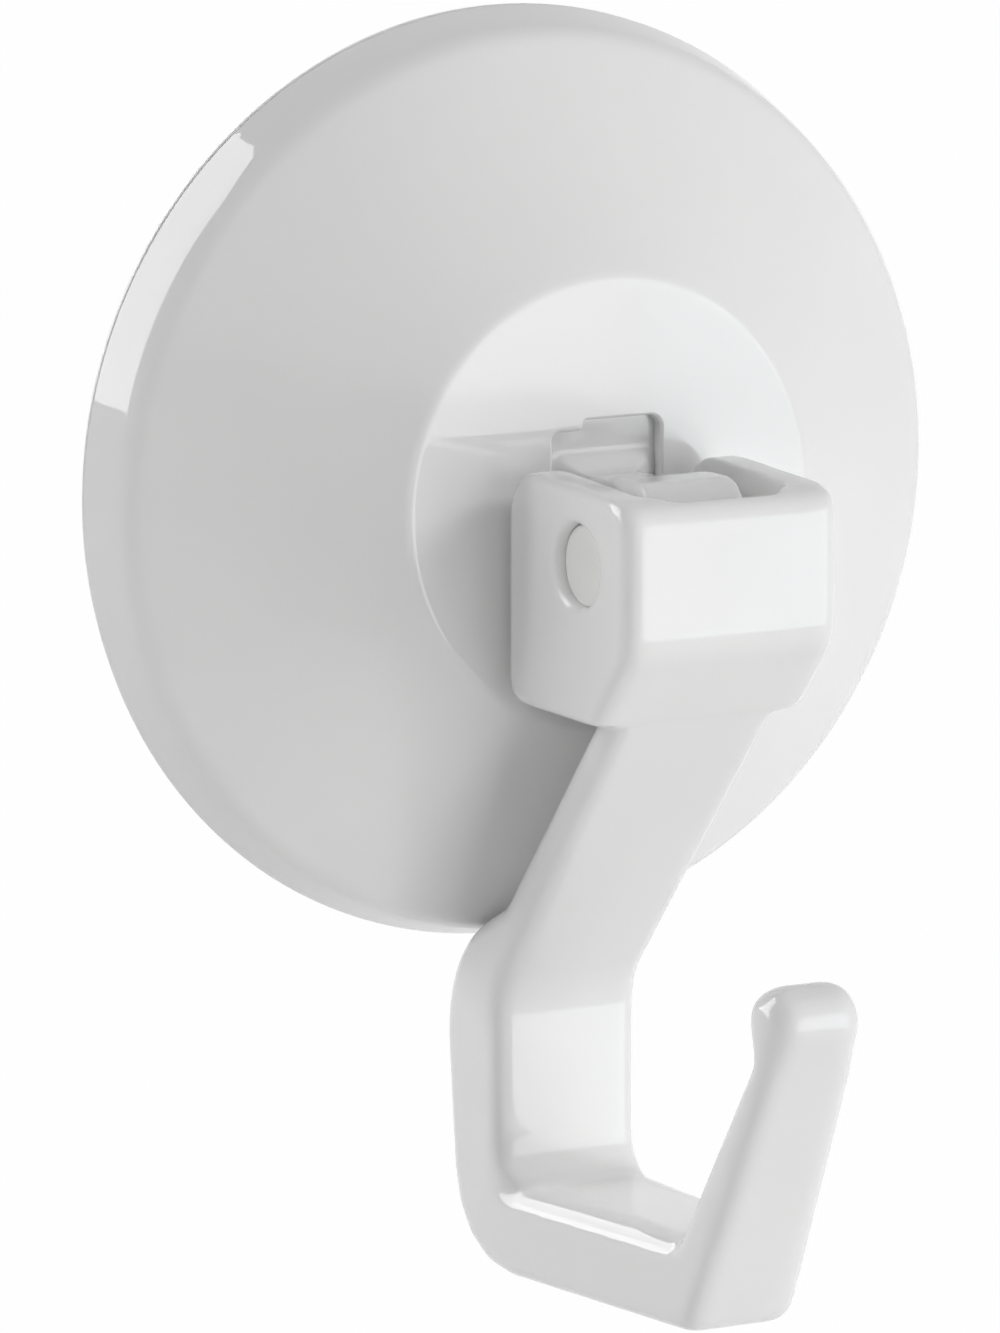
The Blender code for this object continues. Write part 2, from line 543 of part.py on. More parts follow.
def lever_arm():
    """Arm, shank, bar, tip and bead, as sections that follow the hook from the head to its end."""
    front, outside, bead_centre, tip_along, tip_in = shank_and_tip_outlines()
    middles = [(a + b) / 2 for a, b in zip(front, outside)]
    lengths = [0.0]
    for before, after in zip(middles, middles[1:]):
        lengths.append(lengths[-1] + (after - before).length)
    shank_index = 1 + (CORNER_STEPS + 1) + FINE_STEPS
    heel_index = shank_index + 1 + CORNER_STEPS // 2
    toe_index = heel_index + CORNER_STEPS + 1
    keys = [(0.0, ARM_WIDTH), (lengths[shank_index], SHANK_WIDTH), (lengths[heel_index], SHANK_WIDTH),
            (lengths[toe_index], TIP_FOOT_WIDTH), (lengths[-1], TIP_NECK_WIDTH)]

    def width_at(length):
        for (start, start_width), (end, end_width) in zip(keys, keys[1:]):
            if length <= end:
                return start_width + (end_width - start_width) * (length - start) / (end - start)
        return TIP_NECK_WIDTH

    sections = [rounded_section(a, b, width_at(length) / 2, INNER_EDGE, OUTER_EDGE)
                for a, b, length in zip(front, outside, lengths)]

    for index in range(1, CORNER_STEPS + 1):
        share = index / CORNER_STEPS
        swell = share * share * (3 - 2 * share)
        thickness = TIP_NECK_THICKNESS + (2 * BEAD_RADIUS - TIP_NECK_THICKNESS) * swell
        foot = bead_centre - tip_in * BEAD_RADIUS - tip_along * BEAD_BLEND * (1 - share)
        sections.append(rounded_section(foot + tip_in * thickness, foot, TIP_NECK_WIDTH / 2,
                                        INNER_EDGE + (BEAD_SIDE_ROUND - INNER_EDGE) * share,
                                        OUTER_EDGE + (BEAD_SIDE_ROUND - OUTER_EDGE) * share))
    for index in range(1, FINE_STEPS):
        angle = math.pi / 2 * index / FINE_STEPS
        half_thickness = BEAD_RADIUS * math.cos(angle)
        half_width = TIP_NECK_WIDTH / 2 - BEAD_SIDE_ROUND * (1 - math.cos(angle))
        centre = bead_centre + tip_along * BEAD_RADIUS * math.sin(angle)
        sections.append(rounded_section(centre + tip_in * half_thickness, centre - tip_in * half_thickness,
                                        half_width, BEAD_SIDE_ROUND, BEAD_SIDE_ROUND))
    return skin_rings(sections)


def make_hook_lever(material):
    """Lever in one moulding: head with two cheeks, sloping arm, shank, bar and beaded tip."""
    lever = finish_object("hook_lever", lever_head(), material)
    guides = [apply_boolean(lever, stem_slot(), 'DIFFERENCE', "lever_slot_guide"),
              apply_boolean(lever, lever_arm(), 'UNION', "lever_arm_guide"),
              apply_boolean(lever, pivot_cylinder(PIN_RADIUS + PIN_GAP, HEAD_WIDTH / 2 + PASS_OVER),
                            'DIFFERENCE', "lever_bore_guide")]
    pivot = place(0, PIVOT_REACH, PIVOT_Z)
    put_origin(lever, pivot)
    for guide in guides:
        put_origin(guide, pivot)
    return lever


white_plastic = make_material("white_gloss_plastic", (0.83, 0.83, 0.82), 0.22)
pin_plastic = make_material("white_pin_plastic", (0.80, 0.80, 0.79), 0.3)
cup_rubber = make_material("clear_white_rubber", (0.76, 0.77, 0.76), 0.35)

make_suction_cup(cup_rubber)
make_bell_housing(white_plastic)
make_pull_stem(white_plastic)
make_pivot_pin(pin_plastic)
make_hook_lever(white_plastic)
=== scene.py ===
"""White suction cup hook: finished pieces, finishes, a pale stage and soft studio light.

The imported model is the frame. The wall is the plane Y = 0, the hook stands out along -Y and
+Z is up. Profiles of turned pieces are (radius, reach), with the reach out from the wall.
"""
import json
import math

import bmesh
import bpy
import numpy as np
from mathutils import Matrix, Vector


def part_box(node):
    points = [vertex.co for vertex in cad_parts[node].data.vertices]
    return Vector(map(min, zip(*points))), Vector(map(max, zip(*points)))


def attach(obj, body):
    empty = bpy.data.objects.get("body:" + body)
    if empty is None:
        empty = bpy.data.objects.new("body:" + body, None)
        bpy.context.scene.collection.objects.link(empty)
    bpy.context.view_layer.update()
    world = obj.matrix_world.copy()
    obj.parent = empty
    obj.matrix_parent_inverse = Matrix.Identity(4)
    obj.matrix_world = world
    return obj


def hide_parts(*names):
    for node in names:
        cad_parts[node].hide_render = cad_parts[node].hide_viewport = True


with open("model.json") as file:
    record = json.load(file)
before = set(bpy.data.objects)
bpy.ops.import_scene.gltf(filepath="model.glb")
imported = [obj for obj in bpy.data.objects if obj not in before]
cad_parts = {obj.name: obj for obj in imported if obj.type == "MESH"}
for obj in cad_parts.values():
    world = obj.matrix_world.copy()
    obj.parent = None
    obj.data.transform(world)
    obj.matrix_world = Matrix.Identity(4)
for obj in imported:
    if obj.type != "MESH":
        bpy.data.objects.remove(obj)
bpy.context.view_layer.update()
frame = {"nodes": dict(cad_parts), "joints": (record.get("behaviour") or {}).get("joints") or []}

bl_info = {
    "name": "Suction Cup Hook",
    "version": (1, 0, 0),
    "blender": (4, 5, 0),
    "location": "3D View > Sidebar > Suction Hook",
    "description": "Builds a white suction cup hook with its finishes, stage and light",
    "category": "Object",
}

MM = 0.001
BASE = "base"
LEVER = "lever"

hinge = frame["joints"][0]
PIVOT = Vector(hinge["pos_m"])


def half_size(node, axis):
    """Half of a node's size along one axis."""
    low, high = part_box(node)
    return (high[axis] - low[axis]) / 2


def reach_of(node):
    """How far a node stands out from the wall."""
    return -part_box(node)[0][1]


def offset(name, description, default, **limits):
    """Distance in metres that the sidebar shows, to either side of where it is measured from."""
    return bpy.props.FloatProperty(name=name, description=description, default=default,
                                   unit="LENGTH", subtype="DISTANCE", precision=5, **limits)


def length(name, description, default):
    """Size in metres that the sidebar shows."""
    return offset(name, description, default, min=0.0)


def angle(name, description, degrees):
    """Angle that the sidebar shows."""
    return bpy.props.FloatProperty(name=name, description=description, default=math.radians(degrees),
                                   unit="ROTATION", subtype="ANGLE")


def colour(name, description, default):
    """Colour that the sidebar shows."""
    return bpy.props.FloatVectorProperty(name=name, description=description, default=default,
                                         size=3, min=0.0, max=1.0, subtype="COLOR")


def share(name, description, default):
    """Plain number that the sidebar shows."""
    return bpy.props.FloatProperty(name=name, description=description, default=default, min=0.0,
                                   precision=3)


def count(name, description, default):
    """Whole number that the sidebar shows."""
    return bpy.props.IntProperty(name=name, description=description, default=default, min=1)


TURN_STEPS = 256

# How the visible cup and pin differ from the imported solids
LIP_INSET = 0.28 * MM
PIN_FIT = 0.2 * MM
PIN_LONGER = 0.25 * MM


class BellSizes(bpy.types.PropertyGroup):
    """Sizes of the stiff shell."""
    foot_inset: length("Foot Inset", "From the cup's nominal edge in to the bell's foot", 0.08 * MM)
    foot_reach: length("Foot Reach", "Gap from the wall to the bell's foot", 0.3 * MM)
    foot_round: length("Foot Round", "Rounding of the foot's outer edge", 0.08 * MM)
    shoulder_inset: length("Shoulder Inset", "From the foot's radius in to the shoulder", 1.16 * MM)
    shoulder_reach: length("Shoulder Reach", "Reach of the shoulder", 4.17 * MM)
    shoulder_round: length("Shoulder Round", "Rounding of the shoulder", 3.0 * MM)
    plateau_radius: length("Plateau Radius", "Radius of the flat front", 14.26 * MM)
    plateau_reach: length("Plateau Reach", "Reach of the flat front", reach_of("bell_housing"))
    plateau_round: length("Plateau Round", "Rounding round the flat front", 1.5 * MM)
    wall: length("Wall", "Thickness of the shell", 2.0 * MM)
    guide_radius: length("Guide Radius", "Radius of the stem's guide inside", 9.4 * MM)
    guide_reach: length("Guide Reach", "Reach of the guide's inner end", 9.1 * MM)
    steps: count("Steps", "Faces round the bell", TURN_STEPS)


class WindowSizes(bpy.types.PropertyGroup):
    """Sizes of the stem's opening in the plateau."""
    left: length("Left", "From the middle to the opening's left side", 4.1 * MM)
    right: length("Right", "From the middle to the opening's right side", 3.65 * MM)
    top: length("Top", "Height of the opening's top", 5.35 * MM)
    depth: length("Depth", "From the opening's top down to its bottom", 12.45 * MM)
    corner: length("Corner", "Rounding of the opening's corners", 0.8 * MM)
    step_width: length("Step Width", "Width of the step in the upper left corner", 2.2 * MM)
    step_drop: length("Step Drop", "Height of that step", 0.65 * MM)
    lip_round: length("Lip Round", "Rounding of the opening's front edge", 0.25 * MM)
    key_bite: length("Key Bite", "How far the stem's key runs into the opening's sides", 0.3 * MM)
    key_recess: length("Key Recess", "From the plateau in to the stem's key", 0.9 * MM)


class CupSizes(bpy.types.PropertyGroup):
    """Sizes of the soft cup."""
    radius: length("Radius", "Outer radius of the lip", half_size("suction_cup", 0) - LIP_INSET)
    lip_left: length("Lip Left", "How far the lip sits to the left", 0.15 * MM)
    lip_up: length("Lip Up", "How far the lip sits upwards", 0.24 * MM)
    lip: length("Lip", "Thickness of the lip", 0.28 * MM)
    lip_flat: length("Lip Flat", "Ring of the lip that lies on the wall", 2.4 * MM)
    hollow: length("Hollow", "Depth of the hollow at the middle", 3.6 * MM)
    web: length("Web", "Rubber over the hollow's middle", 1.4 * MM)
    boss_radius: length("Boss Radius", "Radius of the boss over the stem's foot", 10.1 * MM)
    boss_reach: length("Boss Reach", "Reach of the boss's top", reach_of("suction_cup"))
    boss_round: length("Boss Round", "Rounding of the boss's edge", 0.6 * MM)
    pocket_radius: length("Pocket Radius", "Radius of the room for the stem's foot", 8.3 * MM)
    pocket_floor: length("Pocket Floor", "Reach of the pocket's floor", 5.0 * MM)
    pocket_roof: length("Pocket Roof", "Reach of the pocket's roof", 7.2 * MM)
    mouth_radius: length("Mouth Radius", "Radius of the way out for the stem", 6.4 * MM)
    steps: count("Steps", "Faces round the cup", TURN_STEPS)


class PinSizes(bpy.types.PropertyGroup):
    """Sizes of the pivot pin."""
    radius: length("Radius", "Radius of the pin", half_size("pivot_pin", 2) + PIN_FIT)
    half_length: length("Half Length", "Half of the pin's length",
                        half_size("pivot_pin", 0) + PIN_LONGER)
    end_round: length("End Round", "Rounding of the pin's ends", 0.15 * MM)
    dish: length("Dish", "Depth of the shallow dish in each end", 0.25 * MM)
    steps: count("Steps", "Faces round the pin", 96)


class MouldingSizes(bpy.types.PropertyGroup):
    """How finely the moulded pieces are skinned and how soft their edges are."""
    lever_grain: length("Lever Grain", "Size of the faces on the lever", 0.22 * MM)
    stem_grain: length("Stem Grain", "Size of the faces on the stem", 0.2 * MM)
    lever_softness: count("Lever Softness", "Passes that soften the lever's edges", 12)
    stem_softness: count("Stem Softness", "Passes that soften the stem's edges", 6)
    cheek_relief: length("Cheek Relief", "How far the cheeks stand back from the stem's eye", 1.4 * MM)
    cheek_inside: length("Cheek Inside", "From the middle to the inside of a cheek", 3.65 * MM)
    cheek_front: length("Cheek Front", "Reach of the front wall's inside", 28.5 * MM)
    bar_round: length("Bar Round", "Rounding of the bar's upper left edge", 2.1 * MM)
    bar_start: length("Bar Start", "Reach of the bar's inner end", 8.7 * MM)
    bar_length: length("Bar Length", "Length of the bar's top", 21.0 * MM)
    bar_top: offset("Bar Top", "Height of the bar's top at its inner end", -44.3 * MM)
    bar_rise: angle("Bar Rise", "Climb of the bar towards the tip", 2.2)
    eye_flat: share("Eye Flat", "How much of its depth the front of the stem's eye keeps", 0.35)
    eye_bore: length("Eye Bore", "Radius of the eye's bore", 2.64 * MM)
    neck_share: share("Neck Share", "Width of the stem's neck against the eye", 0.58)
    neck_top: share("Neck Top", "Height of the neck's top against the eye", 0.7)


class FinishSettings(bpy.types.PropertyGroup):
    """Colours and gloss of the finishes."""
    plastic: colour("Plastic", "Glossy white plastic", (0.83, 0.83, 0.828))
    plastic_drift: colour("Plastic Drift", "The same plastic where it is a little denser",
                          (0.80, 0.80, 0.80))
    plastic_roughness: share("Plastic Roughness", "Gloss of the white plastic", 0.03)
    pin: colour("Pin", "Plastic of the pin", (0.80, 0.80, 0.80))
    pin_roughness: share("Pin Roughness", "Gloss of the pin", 0.22)
    rubber: colour("Rubber", "Soft cup", (0.78, 0.79, 0.79))
    rubber_roughness: share("Rubber Roughness", "Gloss of the soft cup", 0.28)


class StageSettings(bpy.types.PropertyGroup):
    """Camera and floor."""
    view_azimuth: angle("View Azimuth", "Camera's turn to the left of straight ahead", 28.724)
    view_elevation: angle("View Elevation", "Camera's height above level", 10.331)
    view_roll: angle("View Roll", "Camera's roll", 0.044)
    view_distance: length("View Distance", "From the camera to the aim", 600.5 * MM)
    aim_across: offset("Aim Across", "Aim to the right of the origin", -0.107 * MM)
    aim_up: offset("Aim Up", "Aim above the origin", -12.443 * MM)
    focal: share("Focal Length", "Lens in millimetres on a 36 mm sensor", 338.86)
    floor_drop: length("Floor Drop", "Floor below the origin", 0.35)
    floor_size: length("Floor Size", "Width of the floor", 24.0)
    floor_colour: colour("Floor Colour", "Floor as the object sees it", (0.9, 0.9, 0.9))
    floor_roughness: share("Floor Roughness", "Gloss of the floor", 0.9)
    floor_white: share("Floor White", "How much plain white the camera sees over the floor", 0.99)
    ambient: share("Ambient", "Strength of the world on matt surfaces", 0.03)


class HookSettings(bpy.types.PropertyGroup):
    """All that the sidebar shows."""
    bell: bpy.props.PointerProperty(type=BellSizes)
    window: bpy.props.PointerProperty(type=WindowSizes)
    cup: bpy.props.PointerProperty(type=CupSizes)
    pin: bpy.props.PointerProperty(type=PinSizes)
    moulding: bpy.props.PointerProperty(type=MouldingSizes)
    finish: bpy.props.PointerProperty(type=FinishSettings)
    stage: bpy.props.PointerProperty(type=StageSettings)


# Outlines

ARC_STEP = math.radians(6.0)
STRAIGHT_STEP = 0.8 * MM
WEB_STEPS = 48

# Bore that keeps the bell's section off the axis; the stem's opening takes it away
CORE_RADIUS = 1.88 * MM

# Roundings of corners inside the bell and at the cup's mouth
GUIDE_END_ROUND = 0.3 * MM
GUIDE_ROOT_ROUND = 0.5 * MM
CEILING_ROUND = 1.0 * MM
INNER_SHOULDER_ROUND = 1.2 * MM
INNER_FOOT_ROUND = 0.25 * MM
MOUTH_ROUND = 0.25 * MM

# Width of the lip's thin edge and its rounding, in thicknesses of the lip
LIP_EDGE = 4
LIP_EDGE_ROUND = 0.4

# Dish in the pin's end against the pin's radius, and where its slope changes
DISH_SHARE = 0.72
DISH_BEND_OUT = 0.55
DISH_BEND_DEEP = 0.8


def arc_at_corner(before, corner, after, radius):
    """Points of the arc that rounds one corner of an outline."""
    to_before = (before - corner).normalized()
    to_after = (after - corner).normalized()
    half_angle = to_before.angle(to_after) / 2
    centre = corner + (to_before + to_after).normalized() * (radius / math.sin(half_angle))
    start = corner + to_before * (radius / math.tan(half_angle)) - centre
    end = corner + to_after * (radius / math.tan(half_angle)) - centre
    sweep = start.angle(end)
    steps = max(2, math.ceil(sweep / ARC_STEP))
    if start.x * end.y - start.y * end.x < 0:
        sweep = -sweep
    points = []
    for index in range(steps + 1):
        turn = sweep * index / steps
        points.append(centre + Vector((start.x * math.cos(turn) - start.y * math.sin(turn),
                                       start.x * math.sin(turn) + start.y * math.cos(turn))))
    return points


def outline_through(corners, closed):
    """Outline through (point, radius) corners, with extra points along its straight runs."""
    path = []
    for index, (corner, radius) in enumerate(corners):
        if radius <= 0:
            path.append(corner)
            continue
        before = corners[index - 1][0]
        after = corners[(index + 1) % len(corners)][0]
        path.extend(arc_at_corner(before, corner, after, radius))
    if closed:
        path.append(path[0].copy())
    dense = [path[0]]
    for start, end in zip(path, path[1:]):
        pieces = max(1, math.ceil((end - start).length / STRAIGHT_STEP))
        for index in range(1, pieces + 1):
            dense.append(start.lerp(end, index / pieces))
    return dense


def crossing(point_a, along_a, point_b, along_b):
    """Where two straight lines of an outline meet."""
    across = Vector((-along_b.y, along_b.x))
    return point_a + along_a * ((point_b - point_a).dot(across) / along_a.dot(across))


def bell_profile(sizes):
    """Section of the bell: foot, shoulder, flank and plateau, and back along the inside."""
    foot_radius = half_size("suction_cup", 0) - sizes.foot_inset
    foot = Vector((foot_radius, sizes.foot_reach))
    shoulder = Vector((foot_radius - sizes.shoulder_inset, sizes.shoulder_reach))
    plateau = Vector((sizes.plateau_radius, sizes.plateau_reach))
    core = Vector((CORE_RADIUS, sizes.plateau_reach))
    side = (shoulder - foot).normalized()
    flank = (plateau - shoulder).normalized()
    side_in = Vector((-side.y, side.x)) * sizes.wall
    flank_in = Vector((-flank.y, flank.x)) * sizes.wall
    level = Vector((1, 0))
    ceiling = Vector((0, sizes.plateau_reach - sizes.wall))
    inner_plateau = crossing(ceiling, level, plateau + flank_in, flank)
    inner_shoulder = crossing(plateau + flank_in, flank, foot + side_in, side)
    inner_foot = crossing(foot, level, foot + side_in, side)
    guide_end = Vector((sizes.guide_radius, sizes.guide_reach))
    return outline_through([
        (foot, sizes.foot_round), (shoulder, sizes.shoulder_round), (plateau, sizes.plateau_round),
        (core, 0), (Vector((CORE_RADIUS, sizes.guide_reach)), 0), (guide_end, GUIDE_END_ROUND),
        (Vector((sizes.guide_radius, ceiling.y)), GUIDE_ROOT_ROUND), (inner_plateau, CEILING_ROUND),
        (inner_shoulder, INNER_SHOULDER_ROUND), (inner_foot, INNER_FOOT_ROUND)], True)


def cup_profile(sizes):
    """Section of the cup: hollow, lip, web, boss, and the pocket with its round mouth."""
    hollow_edge = sizes.radius - sizes.lip_flat
    web_edge = sizes.radius - LIP_EDGE * sizes.lip

    def hollow(radius):
        inside = min(radius, hollow_edge)
        return sizes.hollow * (1 + math.cos(math.pi * inside / hollow_edge)) / 2

    def web_top(radius):
        inward = (sizes.radius - radius) / (sizes.radius - sizes.boss_radius)
        return hollow(radius) + sizes.lip + inward * inward * (sizes.web - sizes.lip)

    section = []
    for index in range(WEB_STEPS + 1):
        radius = hollow_edge * index / WEB_STEPS
        section.append(Vector((radius, hollow(radius))))
    lip_round = sizes.lip * LIP_EDGE_ROUND
    lip_edge = [Vector((hollow_edge, 0)), Vector((sizes.radius, 0)),
                Vector((sizes.radius, sizes.lip)), Vector((web_edge, web_top(web_edge)))]
    section += arc_at_corner(lip_edge[0], lip_edge[1], lip_edge[2], lip_round)
    section += arc_at_corner(lip_edge[1], lip_edge[2], lip_edge[3], lip_round)
    for index in range(WEB_STEPS + 1):
        radius = web_edge + (sizes.boss_radius - web_edge) * index / WEB_STEPS
        section.append(Vector((radius, web_top(radius))))
    boss_foot = section[-1]
    boss = Vector((sizes.boss_radius, sizes.boss_reach))
    mouth = Vector((sizes.mouth_radius, sizes.boss_reach))
    roof = Vector((sizes.mouth_radius, sizes.pocket_roof))
    section += arc_at_corner(boss_foot, boss, mouth, sizes.boss_round)
    section += arc_at_corner(boss, mouth, roof, MOUTH_ROUND)
    section += [roof, Vector((sizes.pocket_radius, sizes.pocket_roof)),
                Vector((sizes.pocket_radius, sizes.pocket_floor)), Vector((0, sizes.pocket_floor))]
    return section


def pin_profile(sizes):
    """Section of the pin, along its length: rounded ends, each with a shallow dish."""
    dish_radius = sizes.radius * DISH_SHARE
    bend = Vector((dish_radius * DISH_BEND_OUT, sizes.half_length - sizes.dish * DISH_BEND_DEEP))
    half_end = [Vector((0, sizes.half_length - sizes.dish)), bend,
                Vector((dish_radius, sizes.half_length))]
    half_end += arc_at_corner(half_end[-1], Vector((sizes.radius, sizes.half_length)),
                              Vector((sizes.radius, 0)), sizes.end_round)
    other_end = [Vector((point.x, -point.y)) for point in reversed(half_end)]
    return half_end + other_end


# The node tree that turns a profile round the wall's axis

def socket_id(tree, name):
    """Identifier of a tree's input, by its name."""
    for item in tree.interface.items_tree:
        if item.item_type == "SOCKET" and item.in_out == "INPUT" and item.name == name:
            return item.identifier
    raise RuntimeError(f"the tree has no input {name}")


def link_nodes(tree, *pairs):
    """Join sockets, given as (node, output, node, input)."""
    for source, output, target, entry in pairs:
        tree.links.new(source.outputs[output], target.inputs[entry])


def maths(tree, operation, value=None):
    """Maths node, with its second value set where one is given."""
    node = tree.nodes.new("ShaderNodeMath")
    node.operation = operation
    if value is not None:
        node.inputs[1].default_value = value
    return node


WELD_DISTANCE = 0.002 * MM


def turning_tree():
    """Geometry Nodes tree: a grid whose rows follow the profile and whose columns go round it."""
    tree = bpy.data.node_groups.new("turned_piece", "GeometryNodeTree")
    face = tree.interface
    face.new_socket("Geometry", in_out="INPUT", socket_type="NodeSocketGeometry")
    steps = face.new_socket("Steps", in_out="INPUT", socket_type="NodeSocketInt")
    steps.default_value = TURN_STEPS
    weld = face.new_socket("Weld Distance", in_out="INPUT", socket_type="NodeSocketFloat")
    weld.default_value = WELD_DISTANCE
    face.new_socket("Material", in_out="INPUT", socket_type="NodeSocketMaterial")
    face.new_socket("Geometry", in_out="OUTPUT", socket_type="NodeSocketGeometry")

    new = tree.nodes.new
    entry = new("NodeGroupInput")
    result = new("NodeGroupOutput")
    profile_size = new("GeometryNodeAttributeDomainSize")
    columns = maths(tree, "ADD", 1.0)
    grid = new("GeometryNodeMeshGrid")
    index = new("GeometryNodeInputIndex")
    row = maths(tree, "DIVIDE")
    row_floor = maths(tree, "FLOOR")
    column = maths(tree, "MODULO")
    turn = maths(tree, "DIVIDE")
    radians = maths(tree, "MULTIPLY", 2 * math.pi)
    profile_place = new("GeometryNodeInputPosition")
    sample = new("GeometryNodeSampleIndex")
    sample.data_type = "FLOAT_VECTOR"
    split = new("ShaderNodeSeparateXYZ")
    cosine = maths(tree, "COSINE")
    sine = maths(tree, "SINE")
    across = maths(tree, "MULTIPLY")
    up = maths(tree, "MULTIPLY")
    outward = maths(tree, "MULTIPLY", -1.0)
    joined = new("ShaderNodeCombineXYZ")
    moved = new("GeometryNodeSetPosition")
    welded = new("GeometryNodeMergeByDistance")
    smooth = new("GeometryNodeSetShadeSmooth")
    realized = new("GeometryNodeRealizeInstances")
    finish = new("GeometryNodeSetMaterial")
    link_nodes(
        tree,
        (entry, "Geometry", profile_size, "Geometry"),
        (entry, "Steps", columns, 0),
        (profile_size, "Point Count", grid, "Vertices X"),
        (columns, 0, grid, "Vertices Y"),
        (index, 0, row, 0), (columns, 0, row, 1), (row, 0, row_floor, 0),
        (index, 0, column, 0), (columns, 0, column, 1),
        (column, 0, turn, 0), (entry, "Steps", turn, 1), (turn, 0, radians, 0),
        (entry, "Geometry", sample, "Geometry"),
        (profile_place, 0, sample, "Value"),
        (row_floor, 0, sample, "Index"),
        (sample, "Value", split, 0),
        (radians, 0, cosine, 0), (radians, 0, sine, 0),
        (split, "X", across, 0), (cosine, 0, across, 1),
        (split, "X", up, 0), (sine, 0, up, 1),
        (split, "Y", outward, 0),
        (across, 0, joined, "X"), (outward, 0, joined, "Y"), (up, 0, joined, "Z"),
        (grid, "Mesh", moved, "Geometry"), (joined, 0, moved, "Position"),
        (moved, 0, welded, "Geometry"), (entry, "Weld Distance", welded, "Distance"),
        (welded, 0, smooth, "Geometry"),
        (smooth, 0, realized, "Geometry"),
        (realized, 0, finish, "Geometry"), (entry, "Material", finish, "Material"),
        (finish, 0, result, "Geometry"))
    return tree


# Meshes

# Points nearer than this are one, and edges that turn further than this stay sharp
DOUBLES = 0.0005 * MM
SHARP_ANGLE = math.radians(35)


def new_object(name, mesh):
    """Object at the origin that shows a mesh."""
    made = bpy.data.objects.new(name, mesh)
    bpy.context.scene.collection.objects.link(made)
    return made


def bake_modifiers(made):
    """Swap an object's mesh for its evaluated one and drop its modifiers."""
    graph = bpy.context.evaluated_depsgraph_get()
    mesh = bpy.data.meshes.new_from_object(made.evaluated_get(graph), depsgraph=graph)
    made.modifiers.clear()
    old = made.data
    made.data = mesh
    bpy.data.meshes.remove(old)


def face_outward(mesh):
    """Merge doubles and turn all faces outward."""
    bm = bmesh.new()
    bm.from_mesh(mesh)
    bmesh.ops.remove_doubles(bm, verts=bm.verts, dist=DOUBLES)
    bmesh.ops.recalc_face_normals(bm, faces=bm.faces)
    if bm.calc_volume(signed=True) < 0:
        bmesh.ops.reverse_faces(bm, faces=bm.faces)
    bm.to_mesh(mesh)
    bm.free()


def volume_of(mesh):
    """Volume that a closed mesh holds."""
    bm = bmesh.new()
    bm.from_mesh(mesh)
    volume = bm.calc_volume()
    bm.free()
    return volume


def turned_piece(name, profile, steps, material, tree):
    """Piece turned from its profile by the Geometry Nodes tree."""
    mesh = bpy.data.meshes.new(name)
    mesh.from_pydata([(point.x, point.y, 0) for point in profile],
                     [(index, index + 1) for index in range(len(profile) - 1)], [])
    made = new_object(name, mesh)
    turning = made.modifiers.new("turning", "NODES")
    turning.node_group = tree
    turning[socket_id(tree, "Steps")] = steps
    turning[socket_id(tree, "Material")] = material
    bake_modifiers(made)
    face_outward(made.data)
    if not made.data.polygons:
        raise RuntimeError(f"{name} has no faces")
    return made


def finish_shading(mesh):
    """Smooth shading that keeps the sharp edges."""
    mesh.shade_smooth()
    mesh.set_sharp_from_angle(angle=SHARP_ANGLE)


# The stem's opening

# Rounding of the step against its height; more would make the flared cutter cross itself
STEP_ROUND = 0.45

# How far the cutter starts behind the guide's end and stands in front of the plateau
CUTTER_BEHIND = 2.0 * MM
CUTTER_BEFORE = 1.0 * MM
FLARE_STEPS = 6

# A bell that keeps more of its volume than this was not cut
UNCUT_SHARE = 0.99


def window_outline(window, gap):
    """Outline of the stepped opening, in by a gap, and the outward direction at each point."""
    left, right = -window.left + gap, window.right - gap
    top, bottom = window.top - gap, window.top - window.depth + gap
    step_round = STEP_ROUND * window.step_drop
    corners = [(Vector((right, bottom)), window.corner), (Vector((right, top)), window.corner),
               (Vector((left + window.step_width, top)), step_round),
               (Vector((left + window.step_width, top - window.step_drop)), step_round),
               (Vector((left, top - window.step_drop)), window.corner - step_round),
               (Vector((left, bottom)), window.corner)]
    path = outline_through(corners, True)[:-1]
    outward = []
    for index, point in enumerate(path):
        along = (path[(index + 1) % len(path)] - path[index - 1]).normalized()
        outward.append(Vector((along.y, -along.x)))
    return path, outward


def ringed_block(name, path, outward, stations):
    """Closed block that follows an outline out from the wall, at (reach, growth) stations."""
    bm = bmesh.new()
    rings = []
    for reach, grow in stations:
        rings.append([bm.verts.new((point.x + side.x * grow, -reach, point.y + side.y * grow))
                      for point, side in zip(path, outward)])
    for near, far in zip(rings, rings[1:]):
        for index in range(len(near)):
            after = (index + 1) % len(near)
            bm.faces.new((near[index], near[after], far[after], far[index]))
    bm.faces.new(rings[0])
    bm.faces.new(rings[-1])
    mesh = bpy.data.meshes.new(name)
    bmesh.ops.recalc_face_normals(bm, faces=bm.faces)
    bm.to_mesh(mesh)
    bm.free()
    return new_object(name, mesh)


def window_cutter(window, bell):
    """Stepped block that cuts the stem's opening, flared to round the opening's front edge."""
    radius, plateau = window.lip_round, bell.plateau_reach
    flare = [(bell.guide_reach - CUTTER_BEHIND, 0.0), (plateau - radius, 0.0)]
    for index in range(1, FLARE_STEPS):
        turn = math.pi / 2 * index / FLARE_STEPS
        flare.append((plateau - radius * (1 - math.sin(turn)), radius * (1 - math.cos(turn))))
    flare.append((plateau + CUTTER_BEFORE, radius))
    return ringed_block("window_cutter", *window_outline(window, 0), flare)


# Mouldings

# A skin with fewer points than this has failed
FEWEST_POINTS = 1000


def points_of(mesh):
    """Places of a mesh's points, one row each."""
    points = np.empty(len(mesh.vertices) * 3)
    mesh.vertices.foreach_get("co", points)
    return points.reshape(-1, 3)


